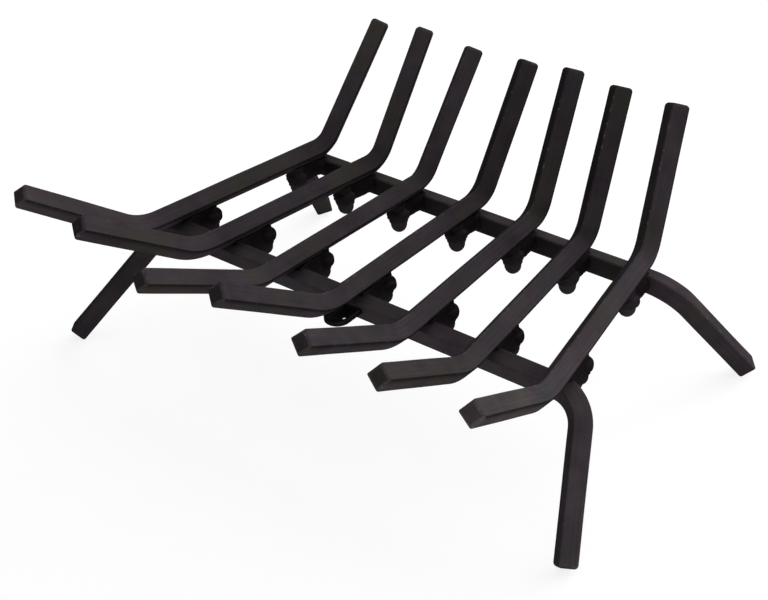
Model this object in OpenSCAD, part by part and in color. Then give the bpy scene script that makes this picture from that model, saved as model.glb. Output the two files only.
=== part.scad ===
/* [Bar stock] */
// Side of the square bar that the whole grate is made of
bar_size = 19.05; // [14:0.05:24]
// Radius along the edges of the bar
edge_r = 0.8; // [0.4:0.1:1.6]

/* [Log bars] */
// Spacing of the log bars where they cross the front rail
front_pitch = 84; // [70:0.5:96]
// Spacing of the log bars where they cross the back rail
back_pitch = 70.5; // [60:0.5:84]
// How far each bar sits off its even place on the front rail, left to right
front_offsets = [-0.5, -6.5, -1.5, -0.5, 2, -2.5, -3.5]; // [-10:0.5:10]
// How far each bar sits off its even place on the back rail, left to right
back_offsets = [0.5, 2, 0.5, 4.5, 5.5, 1.5, 0]; // [-10:0.5:10]
// Length of the level run, from the front bend to the back bend
run_length = 245.5; // [230:0.5:290]
// How far each front bend lies ahead of the front rail, left to right
front_bend_reach = [48.5, 44.5, 53, 47, 46, 53, 46]; // [42:0.5:56]
// Length of each front tine, left to right
front_tine = [153, 151, 152, 158, 150, 149, 152]; // [100:0.5:190]
// Length of each back tine, left to right
back_tine = [151.5, 153, 151, 150, 154.5, 155.5, 152.5]; // [100:0.5:190]
// Rise of each front tine in degrees, left to right
front_rise = [38, 35, 29, 34.5, 30, 31.5, 30.5]; // [20:0.5:45]
// Rise of each back tine in degrees, left to right
back_rise = [52.5, 58, 52, 53.5, 59, 58, 56.5]; // [40:0.5:65]
// Radius of the front bends in the log bars, on the centre line
front_bend_r = 65; // [40:1:72]
// Radius of the back bends in the log bars, on the centre line
back_bend_r = 21; // [16:0.5:26]
// How much thinner the bar is drawn in its bends
bend_draw = 0.04; // [0.02:0.01:0.1]
// Height of the level runs' centre line above the floor
bar_height = 150; // [120:1:190]

/* [Rails and legs] */
// Distance between the two rails, centre to centre
rail_gap = 190; // [180:1:210]
// Half length of the front rail, from the middle to its corner
front_half_span = 271; // [266:1:310]
// Half length of the back rail, from the middle to its corner
back_half_span = 252; // [248:1:290]
// How far the back rail sits off the front rail's middle, sideways
back_rail_shift = -6; // [-10:1:10]
// Lean of the front legs out of the upright, towards the front, in degrees
front_lean = 36.5; // [20:0.5:45]
// Lean of the back legs out of the upright, towards the back, in degrees
back_lean = 30.5; // [20:0.5:45]
// Sideways splay of the left and right front legs, in degrees
front_splay = [28, 14.5]; // [5:0.5:30]
// Sideways splay of the left and right back legs, in degrees
back_splay = [14, 18]; // [5:0.5:30]
// Radius of the bends between the front rail and its legs
front_knee_r = 38; // [26:1:52]
// Radius of the bends between the back rail and its legs
back_knee_r = 40; // [26:1:52]
// How much of each foot's lowest corner is dressed flat for the floor
foot_flat = 0.8; // [0.4:0.1:2]
// Depth of the notch in the rails and lugs that each log bar is seated in
seat_depth = 0.6; // [0.3:0.1:2]

/* [Lugs] */
// Distance from a rail's centre to the studs of its lugs
lug_reach = 39; // [38:1:52]
// Width of a lug's arm
lug_width = 20.5; // [16:0.5:24]
// Depth of a lug below its seat
lug_depth = 14.5; // [12:0.5:18]
// Diameter of the round eye at a lug's end
eye_d = 24.5; // [21:0.5:26]
// Diameter of the eye's narrow top, under the bar
eye_top_d = 17; // [12:0.5:20]
// Depth of the eye's sloping shoulder
eye_shoulder = 6; // [3:0.5:10]

/* [Studs and cap nuts] */
// Diameter of the studs
stud_d = 8; // [5:0.5:10]
// Gap around each stud in its lug and in its nut
stud_clearance = 0.2; // [0.1:0.05:0.5]
// Diameter of the domed cap nuts
nut_d = 20; // [16:0.5:23]
// Height of the cap nuts
nut_height = 18; // [16:0.5:24]
// Radius of a cap nut's curved flank
nut_flank_r = 30; // [26:1:52]
// How far each stud reaches into its nut
stud_engagement = 9; // [5:0.5:11]

/* [Centre tab] */
// Width of the tab on the front rail
tab_width = 29; // [20:1:34]
// Thickness of the tab
tab_thickness = 3.5; // [3:0.5:7]
// Distance from the front rail's centre to the tab's tip
tab_reach = 39; // [32:1:52]
// Depth of the tab's rim below the upper edge of the rail
tab_drop = 6; // [4:0.5:8]
// Height of the rim around the tab
tab_rim_height = 2.5; // [1:0.5:4]
// Width of the rim around the tab
tab_rim_width = 3.5; // [2:0.5:5]
// Diameter of the hole in the tab
tab_hole_d = 6; // [4:0.5:9]
// How far the hole lies to the right of the tab's middle
tab_hole_offset = 6; // [0:0.5:7]

/* [Hidden] */
bar_count = len(front_offsets);

middle_bar = (bar_count + 1) / 2;

// how far a bend laps into the straight bar at each of its ends
bend_lap = 0.4;
bar_radii = [front_bend_r, back_bend_r];

// the section stands on one edge: distance from its centre to an edge's
// rounding centre, and to the rounded edge itself
edge_centre = (bar_size / 2 - edge_r) * sqrt(2);
edge_reach = edge_centre + edge_r;

// height of the seats, which take the bars' lower edges
seat_height = bar_height - edge_reach + seat_depth;

// height of a rail's centre line, whose upper edge reaches up to the seats
function rail_height(lean) = seat_height - edge_centre * cos(lean) - edge_r;

// height of the lowest point of a leg's square-cut end, below the end's centre
function foot_drop(lean, splay) =
    edge_centre * sin(lean) + edge_r * sqrt(1 - pow(cos(lean) * cos(splay), 2));

// length of a leg that brings its lowest point to the floor, once dressed
function leg_length(lean, splay) =
    (rail_height(lean) - foot_drop(lean, splay) + foot_flat) / (cos(lean) * cos(splay));

// places of bar i along the two rails, and its turn seen from above
function front_place(i) = (i - middle_bar) * front_pitch + front_offsets[i - 1];
function back_place(i) = (i - middle_bar) * back_pitch + back_offsets[i - 1];
function bar_turn(i) = atan2(back_place(i) - front_place(i), rail_gap);

// how far the end of a tine reaches from the front rail, with its square-cut corner
function tip_reach(turn, level, tine, rise) =
    cos(turn) * (level + tine * cos(rise) + edge_centre * sin(rise))
    + edge_r * sqrt(1 - pow(cos(turn) * cos(rise), 2));
function front_tip(i) =
    tip_reach(bar_turn(i), front_bend_reach[i - 1], front_tine[i - 1], front_rise[i - 1]);
function back_tip(i) =
    tip_reach(bar_turn(i), run_length - front_bend_reach[i - 1], back_tine[i - 1], back_rise[i - 1]);

// how far a front foot reaches sideways from the middle of the rail
function foot_reach(splay) =
    front_half_span + leg_length(front_lean, splay) * sin(splay) + edge_reach * cos(splay);

// the origin lies on the floor, under the middle of the whole grate
middle_x = (foot_reach(front_splay[1]) - foot_reach(front_splay[0])) / 2;
front_edge = max([for (i = [1 : bar_count]) front_tip(i)]);
back_edge = max([for (i = [1 : bar_count]) back_tip(i)]);
front_y = front_edge - (front_edge + back_edge) / 2;
back_y = front_y + rail_gap;

function front_x(i) = front_place(i) - middle_x;
function back_x(i) = back_place(i) - middle_x;

// bend and end points of bar i in its own upright plane, front to back,
// measured from the point above the front rail
function bar_path(i) =
    let (
        front_bend = -front_bend_reach[i - 1],
        back_bend = front_bend + run_length,
        front_up = front_rise[i - 1],
        back_up = back_rise[i - 1]
    )
    [
        [front_bend, 0] + front_tine[i - 1] * [-cos(front_up), sin(front_up)],
        [front_bend, 0],
        [back_bend, 0],
        [back_bend, 0] + back_tine[i - 1] * [cos(back_up), sin(back_up)]
    ];

// foot, corner, corner and foot of a rail in its own leaning plane
function rail_path(half_span, lean, splay) =
    let (
        left = leg_length(lean, splay[0]),
        right = leg_length(lean, splay[1])
    )
    [
        [-half_span - left * sin(splay[0]), -left * cos(splay[0])],
        [-half_span, 0],
        [half_span, 0],
        [half_span + right * sin(splay[1]), -right * cos(splay[1])]
    ];

// heading of one stretch of a path, and the turn at one of its corners
function heading(path, i) =
    atan2(path[i + 1][1] - path[i][1], path[i + 1][0] - path[i][0]);
function corner_turn(path, i) = heading(path, i) - heading(path, i - 1);
function setback(path, i, radii) =
    (i == 0 || i == len(path) - 1) ? 0 : radii[i - 1] * tan(abs(corner_turn(path, i)) / 2);

// square section standing on one edge, with rounded edges
module bar_section(size) {
    rotate(45) {
        square([size - 2 * edge_r, size], center = true);
        square([size, size - 2 * edge_r], center = true);
        for (x = [-1, 1], y = [-1, 1])
            translate([x * (size / 2 - edge_r), y * (size / 2 - edge_r)])
                circle(edge_r, $fn = 24);
    }
}

// straight bar along X from the origin
module straight_bar(length) {
    rotate([90, 0, 90])
        linear_extrude(length)
            bar_section(bar_size);
}

// bar bent in its XY plane along a path of points, with a radius for each corner
module bent_bar(path, radii) {
    for (i = [0 : len(path) - 2]) {
        start = setback(path, i, radii);
        end = setback(path, i + 1, radii);
        length = norm(path[i + 1] - path[i]) - start - end;
        translate([path[i][0], path[i][1], 0])
            rotate([0, 0, heading(path, i)])
                translate([start, 0, 0])
                    straight_bar(length);
    }
    for (i = [1 : len(path) - 2]) {
        bend_r = radii[i - 1];
        turn = corner_turn(path, i);
        side = sign(turn);
        lap = side * asin(bend_lap / bend_r);
        translate([path[i][0], path[i][1], 0])
            rotate([0, 0, heading(path, i - 1)])
                translate([-setback(path, i, radii), side * bend_r, 0])
                    rotate([0, 0, -90 * side - lap])
                        rotate_extrude(angle = turn + 2 * lap, $fn = 96)
                            translate([bend_r, 0])
                                bar_section(bar_size - bend_draw);
    }
}

// upright plane of bar i: X runs along the bar, Y points up
module in_bar_plane(i) {
    translate([front_x(i), front_y, bar_height])
        rotate([90, 0, 90 - bar_turn(i)])
            children();
}

module log_bar(i) {
    color("#2b2a2c")
        in_bar_plane(i)
            bent_bar(bar_path(i), bar_radii);
}

// level stretch of bar i, which lies on the rails and lugs
module bar_run(i) {
    path = bar_path(i);
    start = setback(path, 1, bar_radii);
    end = setback(path, 2, bar_radii);
    in_bar_plane(i)
        translate([path[1][0] + start, 0, 0])
            straight_bar(run_length - start - end);
}

module front_rail_bar() {
    translate([-middle_x, front_y, rail_height(front_lean)])
        rotate([90 - front_lean, 0, 0])
            bent_bar(
                rail_path(front_half_span, front_lean, front_splay),
                [front_knee_r, front_knee_r]
            );
}

module back_rail_bar() {
    translate([back_rail_shift - middle_x, back_y, rail_height(back_lean)])
        rotate([90 + back_lean, 0, 0])
            bent_bar(
                rail_path(back_half_span, back_lean, back_splay),
                [back_knee_r, back_knee_r]
            );
}

// floor that the feet's corners are dressed down to
module floor_slab() {
    width = 3 * (front_half_span + bar_height);
    translate([-width / 2, -width / 2, -bar_size])
        cube([width, width, bar_size]);
}

module front_rail() {
    color("#242325")
        difference() {
            front_rail_bar();
            for (i = [1 : bar_count])
                bar_run(i);
            floor_slab();
        }
}

module back_rail() {
    color("#242325")
        difference() {
            back_rail_bar();
            for (i = [1 : bar_count])
                bar_run(i);
            floor_slab();
        }
}

// arm from the rail to a round eye that the stud passes through: X runs from
// the rail's centre inwards, and Z is 0 at the seats
module lug() {
    difference() {
        union() {
            translate([0, -lug_width / 2, -lug_depth])
                cube([lug_reach, lug_width, lug_depth - eye_shoulder]);
            translate([0, -lug_width / 2, -lug_depth])
                cube([lug_reach - eye_top_d / 2, lug_width, lug_depth]);
            translate([lug_reach, 0, 0])
                rotate_extrude($fn = 72)
                    polygon([
                        [0, 0],
                        [eye_top_d / 2, 0],
                        [eye_d / 2, -eye_shoulder],
                        [eye_d / 2, -lug_depth],
                        [0, -lug_depth]
                    ]);
        }
        translate([lug_reach, 0, -2 * lug_depth])
            cylinder(h = 3 * lug_depth, d = stud_d + 2 * stud_clearance, $fn = 48);
    }
}

// place of what hangs under bar i at either rail: X points inwards
module at_front_seat(i) {
    translate([front_x(i), front_y, seat_height])
        rotate([0, 0, 90 - bar_turn(i)])
            children();
}

module at_back_seat(i) {
    translate([back_x(i), back_y, seat_height])
        rotate([0, 0, -90 - bar_turn(i)])
            children();
}

// distance from a rail's centre to its upper edge, inwards
function upper_edge(lean) = edge_centre * sin(lean);

module front_lug(i) {
    color("#1e1d1f")
        difference() {
            at_front_seat(i)
                lug();
            front_rail_bar();
            bar_run(i);
            translate([front_x(i) - bar_size, front_y + upper_edge(front_lean) - bar_size, 0])
                cube([2 * bar_size, bar_size, bar_height]);
        }
}

module back_lug(i) {
    color("#1e1d1f")
        difference() {
            at_back_seat(i)
                lug();
            back_rail_bar();
            bar_run(i);
            translate([back_x(i) - bar_size, back_y - upper_edge(back_lean), 0])
                cube([2 * bar_size, bar_size, bar_height]);
        }
}

// stud from the bar's lower edge down through the lug into the nut
module stud() {
    translate([lug_reach, 0, -lug_depth - stud_engagement])
        cylinder(h = lug_depth + stud_engagement + seat_depth, d = stud_d, $fn = 48);
}

// domed nut: two arcs that run smoothly into each other, and a bore for the stud
module cap_nut() {
    flank_x = nut_d / 2 - nut_flank_r;
    tip_r = (pow(nut_flank_r, 2) - pow(flank_x, 2) - pow(nut_height, 2))
        / (2 * (nut_flank_r - nut_height));
    tip_y = tip_r - nut_height;
    join_y = tip_y * nut_flank_r / (nut_flank_r - tip_r);
    translate([lug_reach, 0, -lug_depth])
        difference() {
            rotate_extrude($fn = 72) {
                intersection() {
                    translate([flank_x, 0])
                        circle(nut_flank_r, $fn = 180);
                    translate([0, join_y])
                        square([nut_d / 2, -join_y]);
                }
                intersection() {
                    translate([0, tip_y])
                        circle(tip_r, $fn = 72);
                    translate([0, -nut_height])
                        square([nut_d / 2, nut_height]);
                }
            }
            translate([0, 0, -stud_engagement - stud_clearance])
                cylinder(
                    h = stud_engagement + nut_height,
                    d = stud_d + 2 * stud_clearance,
                    $fn = 48
                );
        }
}

module front_studs() {
    color("#1e1d1f")
        for (i = [1 : bar_count])
            difference() {
                at_front_seat(i)
                    stud();
                bar_run(i);
            }
}

module back_studs() {
    color("#1e1d1f")
        for (i = [1 : bar_count])
            difference() {
                at_back_seat(i)
                    stud();
                bar_run(i);
            }
}

module front_cap_nuts() {
    color("#39373a")
        for (i = [1 : bar_count])
            at_front_seat(i)
                cap_nut();
}

module back_cap_nuts() {
    color("#39373a")
        for (i = [1 : bar_count])
            at_back_seat(i)
                cap_nut();
}

// plan of the tab: X points forward from the rail's centre, with a round tip
module tab_plan(inset) {
    tip_r = tab_width / 2 - inset;
    translate([0, -tip_r])
        square([tab_reach - tab_width / 2, 2 * tip_r]);
    translate([tab_reach - tab_width / 2, 0])
        circle(tip_r, $fn = 72);
}

module centre_tab() {
    height = tab_thickness + tab_rim_height;
    color("#1e1d1f")
        difference() {
            translate([front_x(middle_bar), front_y, seat_height - tab_drop - height])
                rotate([0, 0, -90])
                    difference() {
                        linear_extrude(height)
                            tab_plan(0);
                        translate([0, 0, tab_thickness])
                            linear_extrude(height)
                                tab_plan(tab_rim_width);
                        translate([tab_reach - tab_width / 2, tab_hole_offset, -height])
                            cylinder(h = 3 * height, d = tab_hole_d, $fn = 48);
                    }
            front_rail_bar();
        }
}

for (i = [1 : bar_count])
    log_bar(i);
front_rail();
back_rail();
for (i = [1 : bar_count])
    front_lug(i);
for (i = [1 : bar_count])
    back_lug(i);
front_studs();
back_studs();
front_cap_nuts();
back_cap_nuts();
centre_tab();
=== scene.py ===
import math
import bpy
import numpy as np
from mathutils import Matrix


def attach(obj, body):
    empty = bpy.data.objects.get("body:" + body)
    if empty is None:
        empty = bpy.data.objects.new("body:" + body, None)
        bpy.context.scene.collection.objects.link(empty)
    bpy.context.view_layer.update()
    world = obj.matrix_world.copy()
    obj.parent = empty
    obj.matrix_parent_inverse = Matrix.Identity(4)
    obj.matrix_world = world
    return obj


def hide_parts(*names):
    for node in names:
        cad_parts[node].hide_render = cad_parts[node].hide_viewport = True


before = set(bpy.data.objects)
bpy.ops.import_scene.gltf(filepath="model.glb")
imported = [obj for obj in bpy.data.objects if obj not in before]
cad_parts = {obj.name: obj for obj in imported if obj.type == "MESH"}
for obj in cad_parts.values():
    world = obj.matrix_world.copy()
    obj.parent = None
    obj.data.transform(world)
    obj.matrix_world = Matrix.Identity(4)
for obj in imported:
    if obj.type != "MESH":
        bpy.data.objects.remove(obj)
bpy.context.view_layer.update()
mm = 0.001      # all sizes below are in millimetres, the frame is in metres
upward = np.array([0, 0, 1.0])
print("frame loaded")

cameraView = {
    "location": (1.02691, -1.09236, 1.12358),     # metres, from the middle of the floor
    "turn": (55.342, 4.716, 39.825),              # degrees about X, Y, Z
    "lens": 82.65,
    "sensor": 36.0,
    "farthest": 50,
}


def makeCamera():
    data = bpy.data.cameras.new("photoCamera")
    data.lens = cameraView["lens"]
    data.sensor_width = cameraView["sensor"]
    data.clip_end = cameraView["farthest"]
    camera = bpy.data.objects.new("photoCamera", data)
    camera.location = cameraView["location"]
    camera.rotation_euler = [math.radians(a) for a in cameraView["turn"]]
    bpy.context.scene.collection.objects.link(camera)
    bpy.context.scene.camera = camera


makeCamera()
print("camera placed")


def newTree(name):
    material = bpy.data.materials.new(name)
    material.use_nodes = True
    tree = material.node_tree
    tree.nodes.clear()
    out = tree.nodes.new("ShaderNodeOutputMaterial")
    shader = tree.nodes.new("ShaderNodeBsdfPrincipled")
    return material, tree, shader, out


def feed(tree, socket, value):
    if isinstance(value, bpy.types.NodeSocket):
        tree.links.new(value, socket)
    else:
        socket.default_value = (*value, 1) if isinstance(value, tuple) else value


def noiseField(tree, vector, scale, detail, roughness=0.55):
    noise = tree.nodes.new("ShaderNodeTexNoise")
    noise.inputs["Scale"].default_value = scale
    noise.inputs["Detail"].default_value = detail
    noise.inputs["Roughness"].default_value = roughness
    tree.links.new(vector, noise.inputs["Vector"])
    return noise.outputs["Fac"]


def mapped(tree, vector, change, amounts):
    mapping = tree.nodes.new("ShaderNodeMapping")
    mapping.inputs[change].default_value = amounts
    tree.links.new(vector, mapping.inputs["Vector"])
    return mapping.outputs["Vector"]


def mathNode(tree, operation, first, second):
    node = tree.nodes.new("ShaderNodeMath")
    node.operation = operation
    feed(tree, node.inputs[0], first)
    feed(tree, node.inputs[1], second)
    return node.outputs[0]


def remapped(tree, value, old, new):
    node = tree.nodes.new("ShaderNodeMapRange")
    for key, amount in zip(("From Min", "From Max", "To Min", "To Max"), (*old, *new)):
        node.inputs[key].default_value = amount
    tree.links.new(value, node.inputs["Value"])
    return node.outputs["Result"]


def patchField(tree, vector, patch):
    noise = noiseField(tree, vector, patch["scale"], patch["detail"])
    return remapped(tree, noise, patch["edges"], (0.0, patch["share"]))


def attributeField(tree, name):
    node = tree.nodes.new("ShaderNodeAttribute")
    node.attribute_name = name
    return node.outputs["Fac"]


def mixedColour(tree, share, first, second):
    mix = tree.nodes.new("ShaderNodeMix")
    mix.data_type = "RGBA"
    tree.links.new(share, mix.inputs["Factor"])
    feed(tree, mix.inputs[6], first)      # the colour inputs A and B
    feed(tree, mix.inputs[7], second)
    return mix.outputs[2]


def toned(tree, colour, share):
    scaled = tree.nodes.new("ShaderNodeVectorMath")
    scaled.operation = "SCALE"
    tree.links.new(colour, scaled.inputs[0])
    feed(tree, scaled.inputs["Scale"], share)
    return scaled.outputs["Vector"]


def showMix(tree, share, first, second, out):
    mix = tree.nodes.new("ShaderNodeMixShader")
    feed(tree, mix.inputs[0], share)
    tree.links.new(first.outputs[0], mix.inputs[1])
    tree.links.new(second.outputs[0], mix.inputs[2])
    tree.links.new(mix.outputs[0], out.inputs[0])


whole = (0.0, 1.0)
paintFinish = {
    "deep": (0.0350, 0.0285, 0.0330),         # paint where it lies thick
    "worn": (0.0510, 0.0430, 0.0485),         # where it has dried thin and dusty
    "olive": (0.0450, 0.0420, 0.0330),        # faint warm patches
    "teal": (0.0330, 0.0360, 0.0375),         # faint cool patches
    "bare": (0.170, 0.155, 0.160),            # steel that shows along rubbed edges
    "wornPatches": {"scale": 30.0, "detail": 4.0, "edges": (0.34, 0.66), "share": 1.0},
    "olivePatches": {"scale": 17.0, "detail": 2.0, "edges": (0.50, 0.68), "share": 0.8},
    "tealPatches": {"scale": 21.0, "detail": 2.0, "edges": (0.54, 0.70), "share": 0.7},
    "tealShift": (3.1, 7.7, 1.9),             # keeps the cool patches apart from the warm ones
    "rubs": {"scale": 190.0, "detail": 3.0, "edges": (0.56, 0.66), "share": 0.35},
    "grain": {"scale": 900.0, "detail": 2.0, "depth": 0.00006},
    "sheen": 0.004,                           # share of the light that the matt paint mirrors
    "sheenColour": (1.0, 0.78, 0.90),
    "sheenRoughness": (0.34, 0.50),
    "mattRoughness": 0.8,
    "edgeShadeDarkest": 0.15,                         # painted shade: how dark the right edges get, for the room's dark reflection in them
}
streakFinish = {
    "stretch": (11.0, 420.0, 1.0),            # cycles to the metre along and around the bar
    "detail": 5.0,
    "harshness": 0.7,
    "depth": 0.00008,
    "tone": 0.13,
    "toneEdges": (0.32, 0.68),
    "roughness": 0.07,
    "roughEdges": (0.3, 0.7),
}
castGrain = {"scale": 420.0, "detail": 2.0, "depth": 0.00022}


# Base colour: deep to worn by patches, with olive and teal shares, then the mill streaks, the
# painted shade along the right edges and the painted light, shade and uneven tone per point multiply it,
# and the rubbed edges show bare steel.
def paintMaterial(name, streaks, tone):
    material, tree, shader, out = newTree(name)
    coordinates = tree.nodes.new("ShaderNodeTexCoord")
    place = coordinates.outputs["Object"]
    patches = patchField(tree, place, paintFinish["wornPatches"])
    olive = patchField(tree, place, paintFinish["olivePatches"])
    shifted = mapped(tree, place, "Location", paintFinish["tealShift"])
    teal = patchField(tree, shifted, paintFinish["tealPatches"])
    colour = mixedColour(tree, patches, paintFinish["deep"], paintFinish["worn"])
    colour = mixedColour(tree, olive, colour, paintFinish["olive"])
    colour = mixedColour(tree, teal, colour, paintFinish["teal"])
    grain = paintFinish["grain"] if streaks else castGrain
    fine = noiseField(tree, place, grain["scale"], grain["detail"])
    height = mathNode(tree, "MULTIPLY", fine, grain["depth"])
    rough = remapped(tree, patches, whole, paintFinish["sheenRoughness"])
    if streaks:
        along = mapped(tree, coordinates.outputs["UV"], "Scale", streakFinish["stretch"])
        lines = noiseField(tree, along, 1.0, streakFinish["detail"], streakFinish["harshness"])
        change, harsh = streakFinish["tone"], streakFinish["roughness"]
        lineTone = remapped(tree, lines, streakFinish["toneEdges"], (1.0 - change, 1.0 + change))
        colour = toned(tree, colour, lineTone)
        height = mathNode(tree, "ADD", height, mathNode(tree, "MULTIPLY", lines, streakFinish["depth"]))
        lineRough = remapped(tree, lines, streakFinish["roughEdges"], (-harsh, harsh))
        rough = mathNode(tree, "ADD", rough, lineRough)
    # painted shade along the right edges and the dark line below them, for the room's dark reflection there
    shade = attributeField(tree, "edgeShade")
    colour = toned(tree, colour, remapped(tree, shade, whole, (tone, tone * paintFinish["edgeShadeDarkest"])))
    # painted light and shade per point, with some uneven paint tone: the colour is multiplied by one plus
    # it
    colour = toned(tree, colour, mathNode(tree, "ADD", attributeField(tree, "coatTone"), 1.0))
    rubs = patchField(tree, place, paintFinish["rubs"])
    rubbed = mathNode(tree, "MULTIPLY", attributeField(tree, "edgeWear"), rubs)
    colour = mixedColour(tree, rubbed, colour, paintFinish["bare"])
    tree.links.new(colour, shader.inputs["Base Color"])
    shader.inputs["Roughness"].default_value = paintFinish["mattRoughness"]
    shader.inputs["Specular IOR Level"].default_value = 0
    bump = tree.nodes.new("ShaderNodeBump")
    bump.inputs["Distance"].default_value = 1.0
    tree.links.new(height, bump.inputs["Height"])
    tree.links.new(bump.outputs[0], shader.inputs["Normal"])
    gloss = tree.nodes.new("ShaderNodeBsdfGlossy")
    feed(tree, gloss.inputs["Color"], paintFinish["sheenColour"])
    tree.links.new(rough, gloss.inputs["Roughness"])
    tree.links.new(bump.outputs[0], gloss.inputs["Normal"])
    showMix(tree, paintFinish["sheen"], shader, gloss, out)
    return material


barPaint = paintMaterial("barPaint", True, 1.0)
# the lugs, welds and tab take a far darker tone than the bars, partly painted shade for the shade under the
# bars
lugPaint = paintMaterial("lugPaint", False, 0.12)
nutPaint = paintMaterial("nutPaint", False, 0.75)
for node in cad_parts.values():
    node.data.materials.clear()
    node.data.materials.append(lugPaint)
print("paint mixed")


# A shell is a grid of rings, each closed around, with a place along and around the piece for
# every point. Its two end rings are capped, or joined to each other where "loop" is set.
# The edge wear, the painted edge shade and the painted light and tone hold a number for each
# point, or one for all, and count as 0 where they are left out.
def makeShell(grid, along, around, girth, **layers):
    uv = np.stack(np.broadcast_arrays(along, around), axis=-1)
    return {"points": grid * mm, "uv": uv * mm, "girth": girth * mm, **layers}


def shellFaces(shell, first):
    grid, uv = shell["points"], shell["uv"]
    rows, columns = grid.shape[:2]
    index = np.arange(rows * columns).reshape(rows, columns)
    around = np.concatenate([uv[:, :, 1], np.full((rows, 1), shell["girth"])], axis=1)
    both = np.stack([np.concatenate([uv[:, :, 0], uv[:, :1, 0]], axis=1), around], axis=-1)
    if shell.get("loop"):
        index = np.concatenate([index, index[:1]])
        both = np.concatenate([both, both[:1]])
    beside = np.roll(index, -1, axis=1)
    quads = np.stack([index[:-1], beside[:-1], beside[1:], index[1:]], axis=-1).reshape(-1, 4)
    quadUv = np.stack([both[:-1, :-1], both[:-1, 1:], both[1:, 1:], both[1:, :-1]], axis=2)
    quadUv = quadUv.reshape(-1, 4, 2)
    ends = [] if shell.get("loop") else [index[0][::-1], index[-1]]
    endUv = [] if shell.get("loop") else [uv[0][::-1], uv[-1]]
    # the volume swept by the quads' outward normals is negative when the shell is inside out
    corners = grid.reshape(-1, 3)[quads]
    normals = np.cross(corners[:, 2] - corners[:, 0], corners[:, 3] - corners[:, 1])
    if np.sum(normals * (corners.mean(axis=1) - grid.reshape(-1, 3).mean(axis=0))) < 0:
        quads, quadUv = quads[:, ::-1], quadUv[:, ::-1]
        ends, endUv = [e[::-1] for e in ends], [e[::-1] for e in endUv]
    faces = (quads + first).tolist() + [(e + first).tolist() for e in ends]
    return faces, [quadUv.reshape(-1, 2)] + endUv


def shellMesh(name, shells, material):
    faces, loops, first = [], [], 0
    for shell in shells:
        newFaces, newLoops = shellFaces(shell, first)
        faces += newFaces
        loops += newLoops
        first += shell["uv"][..., 0].size
    mesh = bpy.data.meshes.new(name)
    points = np.concatenate([shell["points"].reshape(-1, 3) for shell in shells])
    mesh.from_pydata(points.tolist(), [], faces)
    mesh.uv_layers.new(name="alongBar").data.foreach_set("uv", np.concatenate(loops).ravel())
    for layer, key in (("edgeWear", "wear"), ("edgeShade", "shade"), ("coatTone", "coat")):
        values = [np.broadcast_to(s.get(key, 0.0), s["uv"].shape[:2]).ravel() for s in shells]
        mesh.attributes.new(layer, "FLOAT", "POINT").data.foreach_set("value", np.concatenate(values))
    mesh.shade_smooth()
    mesh.materials.append(material)
    piece = bpy.data.objects.new(mesh.name, mesh)
    bpy.context.scene.collection.objects.link(piece)
    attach(piece, "root")
    return piece


# Sum of size times sin(rate along + turns around + share seed), which makes a surface uneven.
def waves(parts, along, around, seed):
    return sum(size * np.sin(rate * along + turns * around + share * seed)
               for size, rate, turns, share in parts)


barStock = {
    "side": 19.05,
    "edge": 1.6,             # radius of the rolled edges
    "edgeSteps": 5,
    "flatSteps": (0.04, 0.12, 0.5, 0.90, 0.96),
    "seatDepth": 0.6,        # how far a log bar's lower edge sinks into the rail
    "cadEdge": 0.8,
    "softEnd": 3.8,          # rounding of the sawn ends
    "endAngles": (0, 25, 50, 72, 72),
    "lip": 0.7,              # how far the last ring lies inside the one before it
    "wobble": 0.10,          # how uneven the rolled faces are
    "waves": ((1.0, 1 / 17, 2, 1.0), (1.0, 1 / 41, -1, 2.3)),
    "sampleStep": 7.0,
    "fewestSamples": 4,
    "bendSteps": 14,
    # right, upper, left and lower edge
    "edgeWear": (0.25, 1, 0.7, 0.2),
    "edgeShade": (1, 0, 0, 0.6),
    "edgeSpread": 0.8,       # how far around an edge its wear and shade reach
    "lineShade": (0.35, 0.9),     # painted shade: the dark line a little below the right edge
    "rimRings": (1, 2, 3, -4, -3, -2),      # the rounded rims of both ends
    "rimWear": 0.9,
    "capRings": (0, 1, 2, -3, -2, -1),
    "capShadeAndTone": -0.45,        # how much darker the sawn faces are: darker sawn paint, and painted shade against the front lamps
    "coatReach": (0.2, 0.4, 0.6, 0.8),      # where along the bar the ends' painted light and tone fade
}
edgeCentre = (barStock["side"] / 2 - barStock["cadEdge"]) * math.sqrt(2)
edgeReach = edgeCentre + barStock["cadEdge"]


# Square standing on one edge: four arcs about the edges' rounding centres, and between each
# arc and the next a flat with two points close to both arcs and one in its middle.
def squareSection():
    centreDistance = (barStock["side"] / 2 - barStock["edge"]) * math.sqrt(2)
    quarter = np.radians(90 * np.arange(4))[:, None]
    sweep = np.radians(np.linspace(-45, 45, barStock["edgeSteps"]))[None, :]
    angle = quarter + sweep
    arcs = barStock["edge"] * np.stack([np.cos(angle), np.sin(angle)], axis=-1)
    arcs = arcs + centreDistance * np.stack([np.cos(quarter), np.sin(quarter)], axis=-1)
    share = np.array(barStock["flatSteps"])[None, :, None]
    flats = arcs[:, -1:] * (1 - share) + np.roll(arcs, -1, axis=0)[:, :1] * share
    section = np.concatenate([arcs, flats], axis=1).reshape(-1, 2)
    spread = barStock["edgeSpread"]
    peak = np.cos(np.linspace(-spread, spread, barStock["edgeSteps"]) * math.pi / 2)
    onEdge = np.concatenate([peak, np.zeros(len(barStock["flatSteps"]))])
    wear = np.outer(barStock["edgeWear"], onEdge).ravel()
    shade = np.outer(barStock["edgeShade"], onEdge).ravel()
    shade[-2:] = barStock["lineShade"]
    return section, wear, shade


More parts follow.
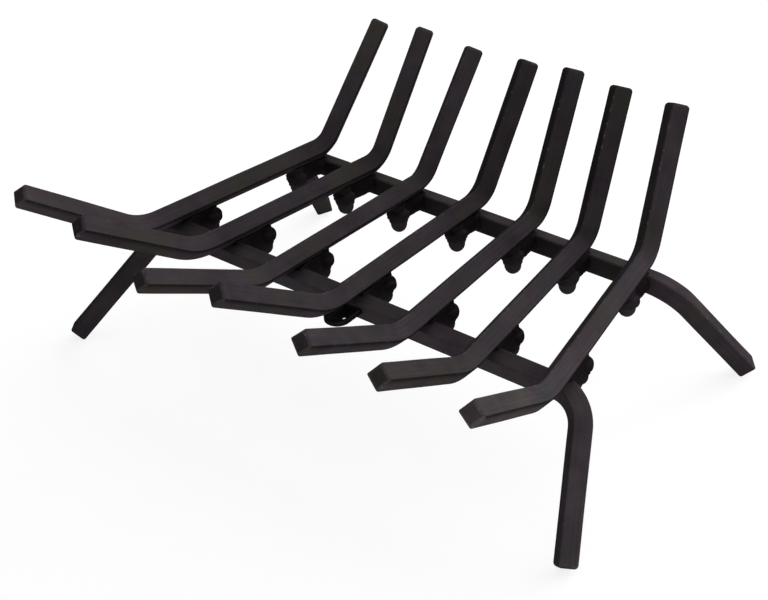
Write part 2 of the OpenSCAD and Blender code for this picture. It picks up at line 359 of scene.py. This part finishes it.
# Straight stretches joined by arcs that touch both: each arc's centre lies one radius
# beside the end of the stretch before it, and its points turn about that centre.
def bentPath(points, radii):
    points, radii = np.array(points, float), np.array(radii)
    stretch = np.diff(points, axis=0)
    length = np.hypot(stretch[:, 0], stretch[:, 1])
    heading = np.arctan2(stretch[:, 1], stretch[:, 0])
    turn = np.diff(heading)
    setback = np.concatenate([[0], radii * np.tan(np.abs(turn) / 2), [0]])
    places, headings = [], []
    for k in range(len(stretch)):
        along = stretch[k] / length[k]
        run = length[k] - setback[k] - setback[k + 1]
        count = max(barStock["fewestSamples"], int(run / barStock["sampleStep"]))
        steps = np.linspace(0, run, count)
        places.append(points[k] + along * (setback[k] + steps[:, None]))
        headings.append(np.full(len(steps), heading[k]))
        if k < len(turn):
            side = np.sign(turn[k])
            centre = places[-1][-1] + side * radii[k] * np.array([-along[1], along[0]])
            angle = heading[k] + np.linspace(0, turn[k], barStock["bendSteps"])[1:-1]
            places.append(centre + side * radii[k] * np.stack([np.sin(angle), -np.cos(angle)], axis=1))
            headings.append(angle)
    return np.concatenate(places), np.concatenate(headings)


# Both ends of a path get rings that shrink along a quarter circle of the end's rounding:
# inset soft (1 - cos a), advance soft sin a. The last one adds the lip.
def softEnds(place, heading):
    soft = barStock["softEnd"]
    angle = np.radians(np.array(barStock["endAngles"]))
    inset = soft * (1 - np.cos(angle))
    inset[-1] += barStock["lip"]
    advance = soft * (np.sin(angle) - math.sin(angle[-1]))
    forward = np.stack([np.cos(heading), np.sin(heading)], axis=1)
    head = place[0] - forward[0] * advance[::-1, None]
    tail = place[-1] + forward[-1] * advance[:, None]
    rings = len(angle)
    place = np.concatenate([head, place[1:-1], tail])
    heading = np.concatenate([np.full(rings, heading[0]), heading[1:-1], np.full(rings, heading[-1])])
    inset = np.concatenate([inset[::-1], np.zeros(len(place) - 2 * rings), inset])
    return place, heading, 1 - inset / (barStock["side"] / 2)


# What the paint reads at each point: the edges' wear, their painted shade times a share, and
# the painted light and tone, from one end's value over 0 to the other's, plus the first face's own painted
# shade.
def paintLayers(distance, wear, shade, paint):
    size = (len(distance), len(wear))
    worn = np.broadcast_to(wear, size).copy()
    worn[list(barStock["rimRings"])] = barStock["rimWear"]
    dark = paint["edgeShadeShare"] * np.broadcast_to(shade, size)
    dark[list(barStock["capRings"])] = 0
    first, last = paint["coats"]
    coat = np.interp(distance, distance[-1] * np.array(barStock["coatReach"]), (first, 0, 0, last))
    perFace = barStock["edgeSteps"] + len(barStock["flatSteps"])
    firstFace = np.arange(len(wear)) < perFace
    coat = coat[:, None] + paint["innerPaintedShade"] * firstFace
    # the sawn faces darker: darker sawn paint and painted shade
    coat[[0, -1]] += barStock["capShadeAndTone"]
    return {"wear": worn, "shade": dark, "coat": coat}


# The square section, rolled by some degrees, carried along a bent path in a plane: a point
# of the section lies sideways along the plane's normal and across the heading.
def sweptBar(points, radii, origin, plane, seed, roll, paint):
    section, wear, shade = squareSection()
    place, heading, shrink = softEnds(*bentPath(points, radii))
    lean = math.radians(roll)
    section = section @ np.array([[math.cos(lean), math.sin(lean)], [-math.sin(lean), math.cos(lean)]])
    distance = np.concatenate([[0], np.cumsum(np.hypot(*np.diff(place, axis=0).T))])
    spin = np.arctan2(section[:, 1], section[:, 0])
    wave = waves(barStock["waves"], distance[:, None], spin, seed)
    swell = shrink[:, None] + barStock["wobble"] / barStock["side"] * wave
    planeX, planeY = plane
    across = np.cross(planeX, planeY)
    lift = -np.sin(heading)[:, None] * planeX + np.cos(heading)[:, None] * planeY
    centre = origin + place[:, :1] * planeX + place[:, 1:] * planeY
    grid = (centre[:, None] + (section[:, 0] * swell)[..., None] * across
            + (section[:, 1] * swell)[..., None] * lift[:, None])
    girthSteps = np.hypot(*np.diff(np.concatenate([section, section[:1]]), axis=0).T)
    around = np.concatenate([[0], np.cumsum(girthSteps)])
    layers = paintLayers(distance, wear, shade, paint)
    # each bar reads its own stretch of the streaks, 100 mm from the next one's
    return makeShell(grid, distance[:, None] + 100 * seed, around[None, :-1], around[-1], **layers)


grate = {
    "middle": 19.75,            # x of the front rail's middle
    "frontY": -53.25,           # y of the front rail
    "railGap": 190.0,
    "barHeight": 150.0,         # height of the level runs' centre lines
}
logBars = {
    "frontPitch": 84.0,
    "backPitch": 70.5,
    "frontOffsets": (-0.5, -6.5, -1.5, -0.5, 2, -2.5, -3.5),
    "backOffsets": (0.5, 2, 0.5, 4.5, 5.5, 1.5, 0),
    "run": 245.5,
    "bendReach": (48.5, 44.5, 53, 47, 46, 53, 46),
    "frontTine": (155, 151, 152, 158, 150, 149, 152),
    "backTine": (151.5, 153, 151, 150, 154.5, 155.5, 152.5),
    "frontRise": (38, 35, 29, 34.5, 30, 31.5, 30.5),
    "backRise": (52.5, 58, 52, 53.5, 59, 58, 56.5),
    "bendRadii": (65.0, 30.0),
    "roll": (2, 4, 0.6, -5.2, -1.6, 2.7, 2.5),     # how far each bar leans to one side, in degrees
    # how much lighter or darker each tine is painted: uneven paint, and painted light and shade, such as
    # the seventh front tine's painted sheen
    "frontTineLightAndTone": (0.05, -0.12, -0.1, -0.08, 0, 0, 0.42),
    "backTineLightAndTone": (-0.05, -0.18, -0.16, -0.48, -0.48, -0.48, -0.25),
    "edgeShadeShare": 1.0,
    "innerPaintedShade": 0.0,
}
barCount = len(logBars["frontRise"])
seatHeight = grate["barHeight"] - edgeReach + barStock["seatDepth"]


def crossings():
    steps = np.arange(barCount) - (barCount - 1) / 2
    front = grate["middle"] + steps * logBars["frontPitch"] + np.array(logBars["frontOffsets"])
    back = grate["middle"] + steps * logBars["backPitch"] + np.array(logBars["backOffsets"])
    return front, back, np.arctan2(back - front, grate["railGap"])


frontX, backX, barTurn = crossings()


# The way along a bar that points from a rail to the middle of the grate.
def inwardFrom(i, outward):
    return -outward * np.array([math.sin(barTurn[i]), math.cos(barTurn[i]), 0])


def makeLogBar(i):
    ahead = -logBars["bendReach"][i]
    behind = ahead + logBars["run"]
    frontUp, backUp = math.radians(logBars["frontRise"][i]), math.radians(logBars["backRise"][i])
    frontTine, backTine = logBars["frontTine"][i], logBars["backTine"][i]
    points = [
        (ahead - frontTine * math.cos(frontUp), frontTine * math.sin(frontUp)),
        (ahead, 0),
        (behind, 0),
        (behind + backTine * math.cos(backUp), backTine * math.sin(backUp)),
    ]
    origin = np.array([frontX[i], grate["frontY"], grate["barHeight"]])
    plane = (inwardFrom(i, -1), upward)
    paint = {"edgeShadeShare": logBars["edgeShadeShare"], "innerPaintedShade": logBars["innerPaintedShade"],
             "coats": (logBars["frontTineLightAndTone"][i], logBars["backTineLightAndTone"][i])}
    shell = sweptBar(points, logBars["bendRadii"], origin, plane, i + 1.0, logBars["roll"][i], paint)
    piece = shellMesh(f"logBar{i + 1}", [shell], barPaint)
    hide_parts(f"bar_{i + 1}")


for i in range(barCount):
    makeLogBar(i)
print("log bars bent")

# Painted shade on the rails: the left legs and the front right one darker, painted light on the back right
# one, the back rail's inner face darker, and the edges' painted shade weaker than on the bars.
rails = {
    "front": {
        "node": "front_rail", "y": 0.0, "outward": -1, "shift": 0.0, "lean": 36.5,
        "halfSpan": 271.0, "splay": (28, 14.5), "kneeRadius": 38.0, "seed": 11.0,
        "edgeShadeShare": 0.15, "innerPaintedShade": 0.0, "coats": (-0.42, -0.05),
    },
    "back": {
        "node": "back_rail", "y": grate["railGap"], "outward": 1, "shift": -6.0, "lean": 30.5,
        "halfSpan": 252.0, "splay": (14, 18), "kneeRadius": 40.0, "seed": 12.0,
        "edgeShadeShare": 0.15, "innerPaintedShade": -0.42, "coats": (-0.35, 0.1),
    },
}
footFlat = 0.8      # how much of a foot's lowest corner is dressed away
footEase = 1.7      # how much longer a leg is, so that its softened end still meets the floor


def railHeight(rail):
    return seatHeight - edgeCentre * math.cos(math.radians(rail["lean"])) - barStock["cadEdge"]


# The leg leans and splays, so its length is the drop to the floor over the cosines of both.
def legLength(rail, splay):
    lean, splay = math.radians(rail["lean"]), math.radians(splay)
    upright = math.cos(lean) * math.cos(splay)
    drop = edgeCentre * math.sin(lean) + barStock["cadEdge"] * math.sqrt(1 - upright ** 2)
    return (railHeight(rail) - drop + footFlat) / upright + footEase


def makeRail(name):
    rail = rails[name]
    half = rail["halfSpan"]
    left, right = [legLength(rail, s) for s in rail["splay"]]
    leftTurn, rightTurn = np.radians(rail["splay"])
    points = [
        (-half - left * math.sin(leftTurn), -left * math.cos(leftTurn)),
        (-half, 0),
        (half, 0),
        (half + right * math.sin(rightTurn), -right * math.cos(rightTurn)),
    ]
    lean = math.radians(rail["lean"])
    origin = np.array([grate["middle"] + rail["shift"], grate["frontY"] + rail["y"], railHeight(rail)])
    tilted = np.array([0, -rail["outward"] * math.sin(lean), math.cos(lean)])
    plane = (np.array([1.0, 0, 0]), tilted)
    shell = sweptBar(points, [rail["kneeRadius"]] * 2, origin, plane, rail["seed"], 0.0, rail)
    shell["points"][..., 2] = np.maximum(shell["points"][..., 2], 0)      # dresses the feet flat
    piece = shellMesh(name + "RailAndLegs", [shell], barPaint)
    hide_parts(rail["node"])


makeRail("front")
makeRail("back")
print("rails and legs bent")

lug = {
    "reach": 39.0,
    "frontDraw": (0.3, 3.1, 0, 1.4, -3, -0.4, -0.6),     # how much further out each lug's eye lies
    "backDraw": (0.5, 2.9, -0.6, -3.5, -1.7, 0.5, 3.2),
    "start": 3.0,               # where the arm begins, inside the rail
    "halfWidth": 10.2,
    "depth": 14.5,
    "frontUnderside": 19.0,     # the front arms hang a little lower than the back ones
    "backUnderside": 14.5,
    "crown": 2.5,               # how far the casting reaches up around the bar's lower edge
    "topShare": 0.55,           # width of the arm's top against its underside
    "topFrom": 0.25,            # where the narrowing begins, as a share of the upper half
    "corner": 0.30,             # power of the section's curve: 0 is a rectangle, 1 an ellipse
    "flare": 2.2,               # how much the arm widens into the rail
    "flareAt": 11.0,
    "flareFade": 4.0,
    "rings": 22,
    "sides": 48,
    "widthWaves": ((0.35, 9, 0, 1), (0.2, 31, 3, 1)),
    "heightWaves": ((0.3, 11, 2, 2),),
    "underPaintedLight": 1.2,           # painted light: how much lighter the arm is towards its underside, away from the bar's shade
    "flarePaintedHighlight": 1.5,           # and a painted highlight where it widens into the rail
    # painted light and shade: the back eyes lighter than the front ones
    "eyePaintedLight": {"front": 0.3, "back": 2.2},
    "eyeUneven": 0.019,
    "eyeProfile": (             # radius and depth of the eye, from its top to its bottom
        (0.01, -4), (7.9, -4), (8.2, 1.6), (8.9, 3.4), (11.2, 5.0), (12.2, 6.6), (12.4, 9.0),
        (12.3, 12.0), (11.6, 13.6), (10.4, 14.5), (0.01, 14.5),
    ),
    "seedStep": 1.7,
    "seedStart": {"front": 0.0, "back": 0.5},
}
capNut = {
    "profile": (                # radius and depth below the lug
        (0.01, 0), (9.7, 0), (10.2, 0.8), (10.2, 3.9), (9.6, 4.9), (9.0, 5.6), (8.75, 6.8), (8.7, 9.0),
        (8.2, 11.2), (7.3, 13.2), (5.9, 15.0), (3.9, 16.6), (2.0, 17.5), (0.01, 17.9),
    ),
    "frontWidth": 0.88,
    "backWidth": 1.02,
    "frontRaised": (0, 0, 0, 0, 0, 0, 0),       # how far each nut sits up into its eye
    "backRaised": (0, 0, 0.3, 0.5, 0.8, 2.4, 4.2),
    # painted shade: the front nuts darker than the back ones
    "coat": {"front": -0.55, "back": -0.10},
    "uneven": 0.006,
    "ring": 0.10,               # depth of the turning marks around a nut
}
turning = {
    "spacing": 0.35,            # between the points of a smoothed profile
    "blur": 5,
    "sides": 40,
    "waves": ((1.0, 0, 2, 1), (1.0, 1 / 3, 3, 1), (1.4, 1.5, 8, 3)),
    "ringPitch": 2.1,
    "ringWander": 0.4,
    "ringRadius": 3.0,          # no marks on the tip inside this radius
    "thinnest": 0.005,
    "wrap": 8.0,                # radius that the texture's girth takes
}


# The points joined by straight lines, sampled at even steps and rounded by a running mean
# whose ends stay where they are.
def smoothProfile(points):
    points, blur = np.array(points, float), turning["blur"]
    reach = np.concatenate([[0], np.cumsum(np.hypot(*np.diff(points, axis=0).T))])
    steps = np.linspace(0, reach[-1], int(reach[-1] / turning["spacing"]))
    line = np.stack([np.interp(steps, reach, points[:, k]) for k in range(2)], axis=1)
    padded = np.pad(line, ((blur // 2, blur // 2), (0, 0)), mode="edge")
    mean = np.ones(blur) / blur
    soft = np.stack([np.convolve(padded[:, k], mean, mode="valid") for k in range(2)], axis=1)
    soft[[0, -1]] = line[[0, -1]]
    return soft


# A profile turned about an upright axis: radius r and depth d become (r cos a, r sin a, -d),
# with r a little uneven around the casting and, on the nuts, cut by fine rings.
def turnedShell(profile, place, axisX, uneven, seed, coat, ring=0.0):
    line = smoothProfile(profile)
    radius, depth = line[:, :1], line[:, 1:]
    angle = np.linspace(0, 2 * math.pi, turning["sides"], endpoint=False)
    marks = ring * np.sin(2 * math.pi * depth / turning["ringPitch"]
                          + turning["ringWander"] * np.sin(angle + seed))
    marks = np.maximum(marks, 0) * (radius > turning["ringRadius"])
    radius = radius * (1 + uneven * waves(turning["waves"], depth, angle, seed)) - marks
    radius = np.maximum(radius, turning["thinnest"])
    axisY = np.array([-axisX[1], axisX[0], 0])
    grid = (place + (radius * np.cos(angle))[..., None] * axisX
            + (radius * np.sin(angle))[..., None] * axisY - upward * depth[..., None])
    wrap = turning["wrap"]
    return makeShell(grid, depth, angle * wrap, 2 * math.pi * wrap, coat=coat)


# A rounded rectangle carried inwards from the rail to the eye. Around it the powers of the
# cosine and sine give the two half sizes, its half width has an exponential flare at the
# rail and ripples, and its upper half narrows towards the bar by a smooth step.
def armShell(place, inward, reach, underside, seed):
    t = np.linspace(0, 1, lug["rings"])[:, None]
    angle = np.radians(np.linspace(0, 360, lug["sides"], endpoint=False))
    along = lug["start"] + t * (reach - lug["start"])
    sideways = np.sign(np.cos(angle)) * np.abs(np.cos(angle)) ** lug["corner"]
    upright = np.sign(np.sin(angle)) * np.abs(np.sin(angle)) ** lug["corner"]
    flare = lug["flare"] * np.exp(-np.maximum(along - lug["flareAt"], 0) / lug["flareFade"])
    half = (underside + lug["crown"]) / 2
    rise = np.clip(lug["topFrom"] + (1 - lug["topFrom"]) * upright, 0, 1)
    narrowing = 1 - (1 - lug["topShare"]) * rise ** 2 * (3 - 2 * rise)
    width = (lug["halfWidth"] + flare + waves(lug["widthWaves"], t, angle, seed)) * sideways * narrowing
    height = lug["crown"] - half + (half + waves(lug["heightWaves"], t, angle, seed)) * upright
    side = np.array([-inward[1], inward[0], 0])
    grid = place + along[..., None] * inward + width[..., None] * side + height[..., None] * upward
    # painted light on the arm: lighter towards the underside, and a painted highlight on the flare
    low = (1 - upright) / 2
    coat = lug["underPaintedLight"] * low ** 2 + lug["flarePaintedHighlight"] * flare / lug["flare"] * low
    wrap = turning["wrap"]
    return makeShell(grid, along, angle * wrap, 2 * math.pi * wrap, coat=coat)


def makeLug(rail, i, x, y, outward):
    inward = inwardFrom(i, outward)
    seat = np.array([x, y, seatHeight])
    reach = lug["reach"] + lug[rail + "Draw"][i]
    eyeAt = seat + reach * inward
    seed = lug["seedStep"] * i + lug["seedStart"][rail]
    arm = armShell(seat, inward, reach, lug[rail + "Underside"], seed)
    eye = turnedShell(lug["eyeProfile"], eyeAt, inward, lug["eyeUneven"], seed, lug["eyePaintedLight"][rail])
    piece = shellMesh(f"{rail}Lug{i + 1}", [arm, eye], lugPaint)
    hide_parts(f"{rail}_lug_{i + 1}")
    nutAt = eyeAt - (lug["depth"] - capNut[rail + "Raised"][i]) * upward
    profile = [(radius * capNut[rail + "Width"], depth) for radius, depth in capNut["profile"]]
    coat = capNut["coat"][rail]
    return turnedShell(profile, nutAt, inward, capNut["uneven"], seed + 1, coat, capNut["ring"])


for rail, places, outward in (("front", frontX, -1), ("back", backX, 1)):
    y = grate["frontY"] + rails[rail]["y"]
    nuts = [makeLug(rail, i, places[i], y, outward) for i in range(barCount)]
    piece = shellMesh(rail + "CapNuts", nuts, nutPaint)
    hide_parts(rail + "_cap_nuts")
print("lugs and cap nuts cast")

weld = {
    "half": (6.5, 5.0, 2.4),    # half its size across, along and up
    "sink": 1.4,
    "lump": 0.12,
    "lumps": 5,
    "steps": 20,
    "pole": 0.02,               # angle that the ellipsoid's two ends stay open by
    "wrap": 5.0,
    "towardsEdge": 0.5,         # how far it lies from the rail's middle line to its upper edge
    "seedStep": 2.1,
}


# A lumpy ellipsoid where a bar lies on a rail: sin b cos a, sin b sin a and cos b times its
# three half sizes, with waves around it.
def weldShell(place, inward, seed):
    down = np.linspace(weld["pole"], math.pi - weld["pole"], weld["steps"])[:, None]
    angle = np.linspace(0, 2 * math.pi, 2 * weld["steps"], endpoint=False)[None, :]
    lumps = np.sin(weld["lumps"] * angle + seed) * np.sin(down) * np.cos(2 * down + seed)
    lump = 1 + weld["lump"] * lumps
    side = np.array([-inward[1], inward[0], 0])
    across, along, high = weld["half"]
    grid = (place + (across * lump * np.sin(down) * np.cos(angle))[..., None] * side
            + (along * lump * np.sin(down) * np.sin(angle))[..., None] * inward
            + (high * np.cos(down) * np.ones_like(angle) - weld["sink"])[..., None] * upward)
    wrap = weld["wrap"]
    return makeShell(grid, down * wrap, angle * wrap, 2 * math.pi * wrap)


def makeWelds(name, places):
    rail = rails[name]
    edge = rail["outward"] * edgeReach * math.sin(math.radians(rail["lean"]))
    y = grate["frontY"] + rail["y"] - edge * weld["towardsEdge"]
    shells = [weldShell(np.array([places[i], y, seatHeight]), inwardFrom(i, rail["outward"]),
                        weld["seedStep"] * i) for i in range(barCount)]
    piece = shellMesh(name + "Welds", shells, lugPaint)


makeWelds("front", frontX)
makeWelds("back", backX)
print("crossings welded")

tab = {
    "width": 29.0,
    "reach": 44.0,              # from the rail's middle line to the round tip
    "inner": 4.0,               # where the plate begins, inside the rail
    "thickness": 3.0,
    "rimHeight": 2.8,
    "rimWidth": 3.5,
    "drop": 5.5,
    "holeHalf": (2.7, 1.5),     # the hole is a little oval
    "holeAt": (-1.7, -6.0),
    "soft": 0.8,
    "tipSteps": 33,
    "sideSteps": 8,
    "innerSteps": 5,
}


# The tab's plan: straight across inside the rail, along one side, around the tip and back,
# drawn in by an inset. X points away from the rail.
def tabOutline(inset):
    radius = tab["width"] / 2 - inset
    tipX = tab["reach"] - tab["width"] / 2
    tip = np.radians(np.linspace(-90, 90, tab["tipSteps"]))
    side = np.linspace(tab["inner"], tipX, tab["sideSteps"])[1:-1]
    x = np.concatenate([np.full(tab["innerSteps"], tab["inner"]), side,
                        tipX + radius * np.cos(tip), side[::-1]])
    y = np.concatenate([np.linspace(radius, -radius, tab["innerSteps"]), np.full(len(side), -radius),
                        radius * np.sin(tip), np.full(len(side), radius)])
    return np.stack([x, y], axis=1)


# Rings from the hole's lower edge out under the plate, up its side, over the rim and back
# over the plate to the hole's upper edge, joined into one closed surface.
def makeTab():
    soft, top = tab["soft"], tab["thickness"] + tab["rimHeight"]
    plate, rim = tab["thickness"], tab["rimWidth"]
    rings = ((soft, 0), (0, soft), (0, top - soft), (soft, top), (rim - soft, top), (rim, top - soft),
             (rim + soft / 2, plate + soft / 2), (rim + 2 * soft, plate))
    hole = np.array([tab["reach"] - tab["width"] / 2, 0]) + tab["holeAt"]
    away = tabOutline(0) - hole
    away = away / np.hypot(*away.T)[:, None]
    plans = [np.column_stack([tabOutline(inset), np.full(len(away), z)]) for inset, z in rings]
    half = np.array(tab["holeHalf"])
    for z, more in ((plate, soft), (plate - soft, 0), (soft, 0), (0, soft)):
        plans.append(np.column_stack([hole + (half + more) * away, np.full(len(away), z)]))
    grid = np.stack(plans)
    grid = np.stack([-grid[..., 1], -grid[..., 0], grid[..., 2]], axis=-1)
    place = np.array([frontX[barCount // 2], grate["frontY"], seatHeight - tab["drop"] - top])
    shell = makeShell(grid + place, grid[..., 0], grid[..., 1], 0.0, loop=True)
    piece = shellMesh("centreTab", [shell], lugPaint)
    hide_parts("centre_tab")


makeTab()
print("tab cast")

# "lit" is the share of the glow that the camera and mirrors see on the floor
floorLook = {"size": 30.0, "tone": 0.85, "roughness": 0.9, "lit": 0.70, "glow": 1.20}
lamps = {       # places and sizes in metres, powers in watts
    "overhead": {"place": (0.8, 0.8, 4.4), "size": (4.4, 4.4), "power": 56},
    "behind": {"place": (2.4, 3.0, 2.0), "size": (3.6, 2.8), "power": 68},
    "rear": {"place": (0.0, 4.0, 2.4), "size": (4.0, 2.0), "power": 88},
    "low": {"place": (2.4, -1.8, 0.15), "size": (1.6, 0.3), "power": 24},
    "front": {"place": (0.6, -3.8, 0.6), "size": (3.2, 1.2), "power": 12},
}
lampAim = (0, 0, 0.1)
roomLevel = 0.17


def backgroundRays(tree):
    path = tree.nodes.new("ShaderNodeLightPath")
    mirrored = mathNode(tree, "MAXIMUM", path.outputs["Is Glossy Ray"], path.outputs["Is Transmission Ray"])
    return mathNode(tree, "MAXIMUM", path.outputs["Is Camera Ray"], mirrored)


def makeFloor():
    half = floorLook["size"] / 2
    corners = [(-half, -half, 0), (half, -half, 0), (half, half, 0), (-half, half, 0)]
    mesh = bpy.data.meshes.new("floor")
    mesh.from_pydata(corners, [], [(0, 1, 2, 3)])
    floor = bpy.data.objects.new("floor", mesh)
    bpy.context.scene.collection.objects.link(floor)
    material, tree, shader, out = newTree("paleFloor")
    feed(tree, shader.inputs["Base Color"], (floorLook["tone"],) * 3)
    shader.inputs["Roughness"].default_value = floorLook["roughness"]
    glow = tree.nodes.new("ShaderNodeEmission")
    feed(tree, glow.inputs["Color"], (1, 1, 1))
    glow.inputs["Strength"].default_value = floorLook["glow"]
    share = mathNode(tree, "MULTIPLY", backgroundRays(tree), floorLook["lit"])
    showMix(tree, share, shader, glow, out)
    mesh.materials.append(material)


def makeLamp(name):
    lamp = lamps[name]
    data = bpy.data.lights.new(name, "AREA")
    data.shape = "RECTANGLE"
    data.size, data.size_y = lamp["size"]
    data.energy = lamp["power"]
    light = bpy.data.objects.new(name, data)
    light.visible_camera = False
    light.location = lamp["place"]
    aim = np.array(lampAim) - np.array(lamp["place"])
    tilt = math.atan2(math.hypot(aim[0], aim[1]), -aim[2])
    light.rotation_euler = (tilt, 0, math.atan2(aim[1], aim[0]) - math.pi / 2)
    bpy.context.scene.collection.objects.link(light)


def makeRoom():
    world = bpy.data.worlds.new("studio")
    bpy.context.scene.world = world
    world.use_nodes = True
    tree = world.node_tree
    room = tree.nodes["Background"]
    feed(tree, room.inputs["Color"], (1, 1, 1))
    level = remapped(tree, backgroundRays(tree), whole, (roomLevel, 1.0))
    tree.links.new(level, room.inputs["Strength"])


makeFloor()
for name in lamps:
    makeLamp(name)
makeRoom()
print("floor and lamps placed")

bpy.context.scene.view_settings.view_transform = "Standard"
